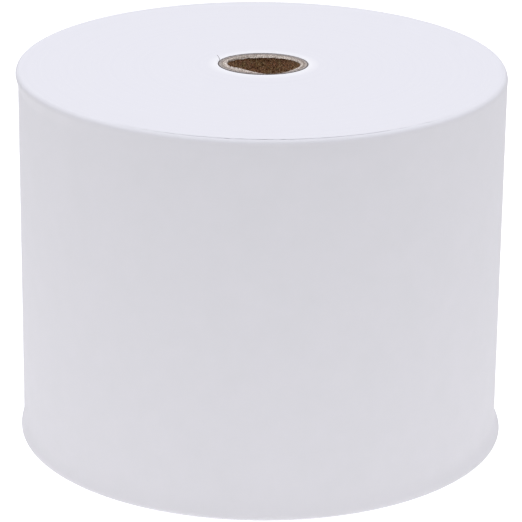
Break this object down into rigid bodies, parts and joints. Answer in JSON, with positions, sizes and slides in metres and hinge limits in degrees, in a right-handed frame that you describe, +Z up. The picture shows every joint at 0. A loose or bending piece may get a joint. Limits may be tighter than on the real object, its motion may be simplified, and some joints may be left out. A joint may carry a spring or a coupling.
{
  "type": "paper roll",
  "caption": "White paper wound on a spiral cardboard core, standing on end, with a free tail that peels off the outside.",
  "frame": {"origin": "centre of the roll's lower end face, on the plane that it stands on", "axes": "+Z up along the roll's axis; the paper's tail leaves the roll at 140 degrees from +X and lies clockwise, seen from above, so the tail is at the back and the plain side faces -Y"},
  "size_m": [0.0733, 0.0734, 0.0573],
  "materials": {
    "paper": "smooth bright white uncoated bond",
    "core_liner": "rough dark brown recycled board",
    "core_board": "cut grey-brown board edge",
    "core_wrap": "smooth dark grey outer ply",
    "glue": "dried cream adhesive"
  },
  "bodies": {
    "roll": {"core_inner_ply": "core_liner", "core_inner_glue": "glue", "core_middle_ply": "core_board", "core_outer_glue": "glue", "core_outer_ply": "core_wrap", "start_glue": "glue", "first_wrap": "paper", "wound_paper": "paper", "outer_wrap": "paper"},
    "tail_1": {"tail_panel_1": "paper"},
    "tail_2": {"tail_panel_2": "paper"},
    "tail_3": {"tail_panel_3": "paper"},
    "tail_4": {"tail_panel_4": "paper"},
    "tail_5": {"tail_panel_5": "paper"},
    "tail_6": {"tail_panel_6": "paper"},
    "tail_7": {"tail_panel_7": "paper"},
    "tail_8": {"tail_panel_8": "paper", "tail_glue": "glue"}
  },
  "joints": [
    {"name": "tail_lift", "type": "hinge", "parent": "roll", "child": "tail_1", "pos_m": [-0.02813, 0.0236, 0.0285], "axis": [0, 0, 1], "range_deg": [0, 18], "stiffness_Nm_per_rad": 0.001},
    {"name": "tail_bend_2", "type": "hinge", "parent": "tail_1", "child": "tail_2", "pos_m": [-0.0226, 0.02893, 0.0285], "axis": [0, 0, 1], "range_deg": [0, 18], "stiffness_Nm_per_rad": 0.001},
    {"name": "tail_bend_3", "type": "hinge", "parent": "tail_2", "child": "tail_3", "pos_m": [-0.0161, 0.033, 0.0285], "axis": [0, 0, 1], "range_deg": [0, 18], "stiffness_Nm_per_rad": 0.001},
    {"name": "tail_bend_4", "type": "hinge", "parent": "tail_3", "child": "tail_4", "pos_m": [-0.00888, 0.03563, 0.0285], "axis": [0, 0, 1], "range_deg": [0, 18], "stiffness_Nm_per_rad": 0.001},
    {"name": "tail_bend_5", "type": "hinge", "parent": "tail_4", "child": "tail_5", "pos_m": [-0.00128, 0.03669, 0.0285], "axis": [0, 0, 1], "range_deg": [0, 18], "stiffness_Nm_per_rad": 0.001},
    {"name": "tail_bend_6", "type": "hinge", "parent": "tail_5", "child": "tail_6", "pos_m": [0.00638, 0.03616, 0.0285], "axis": [0, 0, 1], "range_deg": [0, 18], "stiffness_Nm_per_rad": 0.001},
    {"name": "tail_bend_7", "type": "hinge", "parent": "tail_6", "child": "tail_7", "pos_m": [0.01375, 0.03404, 0.0285], "axis": [0, 0, 1], "range_deg": [0, 18], "stiffness_Nm_per_rad": 0.001},
    {"name": "tail_bend_8", "type": "hinge", "parent": "tail_7", "child": "tail_8", "pos_m": [0.02053, 0.03044, 0.0285], "axis": [0, 0, 1], "range_deg": [0, 18], "stiffness_Nm_per_rad": 0.001}
  ],
  "couplings": [
    {"joint": "tail_bend_2", "follows": "tail_lift", "ratio": 1},
    {"joint": "tail_bend_3", "follows": "tail_lift", "ratio": 1},
    {"joint": "tail_bend_4", "follows": "tail_lift", "ratio": 1},
    {"joint": "tail_bend_5", "follows": "tail_lift", "ratio": 1},
    {"joint": "tail_bend_6", "follows": "tail_lift", "ratio": 1},
    {"joint": "tail_bend_7", "follows": "tail_lift", "ratio": 1},
    {"joint": "tail_bend_8", "follows": "tail_lift", "ratio": 1}
  ]
}
